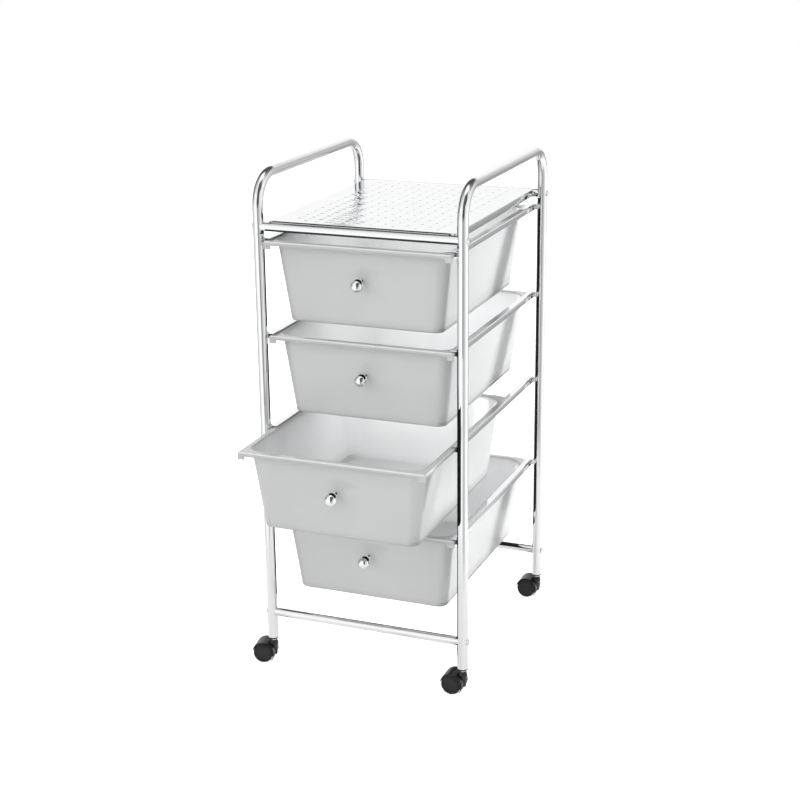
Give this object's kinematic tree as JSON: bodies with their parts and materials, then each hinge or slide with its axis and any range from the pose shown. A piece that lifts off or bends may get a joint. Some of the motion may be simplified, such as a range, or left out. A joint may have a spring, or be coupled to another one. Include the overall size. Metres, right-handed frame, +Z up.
{
  "type": "utility cart",
  "caption": "Rolling drawer cart with a chromed tube frame, loop handles, sheet metal top tray, frosted pull-out drawers with ball knobs, and hooded swivel casters.",
  "frame": {"origin": "middle of the part's footprint at floor level, with drawer 3 standing open as in the picture", "axes": "-Y is the front, where the knobs are; +X is the right side seen from the front; +Z is up"},
  "size_m": [0.3578, 0.5167, 0.773],
  "materials": {
    "chrome_tube": "bright chrome plate",
    "chrome_tray": "bright chrome plated sheet with a raised pattern",
    "chrome_knob": "bright chrome plate",
    "chrome_bolt": "bright chrome plate",
    "zinc_steel": "zinc plated",
    "frosted_plastic": "frosted translucent polypropylene",
    "black_plastic": "moulded black plastic",
    "black_hood": "moulded black plastic, half gloss",
    "black_wheel": "hard black plastic"
  },
  "bodies": {
    "frame": {"side_frame_left": "chrome_tube", "side_frame_right": "chrome_tube", "rail_left_1": "chrome_tube", "rail_left_2": "chrome_tube", "rail_left_3": "chrome_tube", "rail_left_4": "chrome_tube", "rail_right_1": "chrome_tube", "rail_right_2": "chrome_tube", "rail_right_3": "chrome_tube", "rail_right_4": "chrome_tube", "crossbar_upper_front": "chrome_tube", "crossbar_upper_rear": "chrome_tube", "crossbar_lower_front": "chrome_tube", "crossbar_lower_rear": "chrome_tube", "crossbar_plugs": "zinc_steel", "crossbar_bolts": "chrome_bolt", "top_tray": "chrome_tray", "caster_sockets": "black_plastic"},
    "drawer_body_1": {"drawer_1": "frosted_plastic", "knob_1": "chrome_knob", "knob_screw_1": "zinc_steel"},
    "drawer_body_2": {"drawer_2": "frosted_plastic", "knob_2": "chrome_knob", "knob_screw_2": "zinc_steel"},
    "drawer_body_3": {"drawer_3": "frosted_plastic", "knob_3": "chrome_knob", "knob_screw_3": "zinc_steel"},
    "drawer_body_4": {"drawer_4": "frosted_plastic", "knob_4": "chrome_knob", "knob_screw_4": "zinc_steel"},
    "caster_fl": {"caster_stem_fl": "zinc_steel", "caster_hood_fl": "black_hood", "caster_axle_fl": "zinc_steel"},
    "wheel_body_outer_fl": {"wheel_outer_fl": "black_wheel"},
    "wheel_body_inner_fl": {"wheel_inner_fl": "black_wheel"},
    "caster_fr": {"caster_stem_fr": "zinc_steel", "caster_hood_fr": "black_hood", "caster_axle_fr": "zinc_steel"},
    "wheel_body_outer_fr": {"wheel_outer_fr": "black_wheel"},
    "wheel_body_inner_fr": {"wheel_inner_fr": "black_wheel"},
    "caster_rl": {"caster_stem_rl": "zinc_steel", "caster_hood_rl": "black_hood", "caster_axle_rl": "zinc_steel"},
    "wheel_body_outer_rl": {"wheel_outer_rl": "black_wheel"},
    "wheel_body_inner_rl": {"wheel_inner_rl": "black_wheel"},
    "caster_rr": {"caster_stem_rr": "zinc_steel", "caster_hood_rr": "black_hood", "caster_axle_rr": "zinc_steel"},
    "wheel_body_outer_rr": {"wheel_outer_rr": "black_wheel"},
    "wheel_body_inner_rr": {"wheel_inner_rr": "black_wheel"}
  },
  "joints": [
    {"name": "drawer_1_slide", "type": "slide", "parent": "frame", "child": "drawer_body_1", "axis": [0, -1, 0], "range_m": [-0.0083, 0.2417]},
    {"name": "drawer_2_slide", "type": "slide", "parent": "frame", "child": "drawer_body_2", "axis": [0, -1, 0], "range_m": [-0.0006, 0.2494]},
    {"name": "drawer_3_slide", "type": "slide", "parent": "frame", "child": "drawer_body_3", "axis": [0, -1, 0], "range_m": [-0.116, 0.134]},
    {"name": "drawer_4_slide", "type": "slide", "parent": "frame", "child": "drawer_body_4", "axis": [0, -1, 0], "range_m": [0, 0.25]},
    {"name": "caster_fl_swivel", "type": "hinge", "parent": "frame", "child": "caster_fl", "pos_m": [-0.14527, -0.13296, 0.05], "axis": [0, 0, 1], "continuous": true},
    {"name": "wheel_outer_fl_spin", "type": "hinge", "parent": "caster_fl", "child": "wheel_body_outer_fl", "pos_m": [-0.15905, -0.1354, 0.0155], "axis": [-0.1736, 0.9848, 0], "continuous": true},
    {"name": "wheel_inner_fl_spin", "type": "hinge", "parent": "caster_fl", "child": "wheel_body_inner_fl", "pos_m": [-0.15905, -0.1354, 0.0155], "axis": [-0.1736, 0.9848, 0], "continuous": true},
    {"name": "caster_fr_swivel", "type": "hinge", "parent": "frame", "child": "caster_fr", "pos_m": [0.16873, -0.13296, 0.05], "axis": [0, 0, 1], "continuous": true},
    {"name": "wheel_outer_fr_spin", "type": "hinge", "parent": "caster_fr", "child": "wheel_body_outer_fr", "pos_m": [0.15474, -0.13296, 0.0155], "axis": [0, 1, 0], "continuous": true},
    {"name": "wheel_inner_fr_spin", "type": "hinge", "parent": "caster_fr", "child": "wheel_body_inner_fr", "pos_m": [0.15474, -0.13296, 0.0155], "axis": [0, 1, 0], "continuous": true},
    {"name": "caster_rl_swivel", "type": "hinge", "parent": "frame", "child": "caster_rl", "pos_m": [-0.14527, 0.24264, 0.05], "axis": [0, 0, 1], "continuous": true},
    {"name": "wheel_outer_rl_spin", "type": "hinge", "parent": "caster_rl", "child": "wheel_body_outer_rl", "pos_m": [-0.15896, 0.23972, 0.0155], "axis": [-0.2079, 0.9781, 0], "continuous": true},
    {"name": "wheel_inner_rl_spin", "type": "hinge", "parent": "caster_rl", "child": "wheel_body_inner_rl", "pos_m": [-0.15896, 0.23972, 0.0155], "axis": [-0.2079, 0.9781, 0], "continuous": true},
    {"name": "caster_rr_swivel", "type": "hinge", "parent": "frame", "child": "caster_rr", "pos_m": [0.16873, 0.24264, 0.05], "axis": [0, 0, 1], "continuous": true},
    {"name": "wheel_outer_rr_spin", "type": "hinge", "parent": "caster_rr", "child": "wheel_body_outer_rr", "pos_m": [0.15474, 0.24264, 0.0155], "axis": [0, 1, 0], "continuous": true},
    {"name": "wheel_inner_rr_spin", "type": "hinge", "parent": "caster_rr", "child": "wheel_body_inner_rr", "pos_m": [0.15474, 0.24264, 0.0155], "axis": [0, 1, 0], "continuous": true}
  ]
}
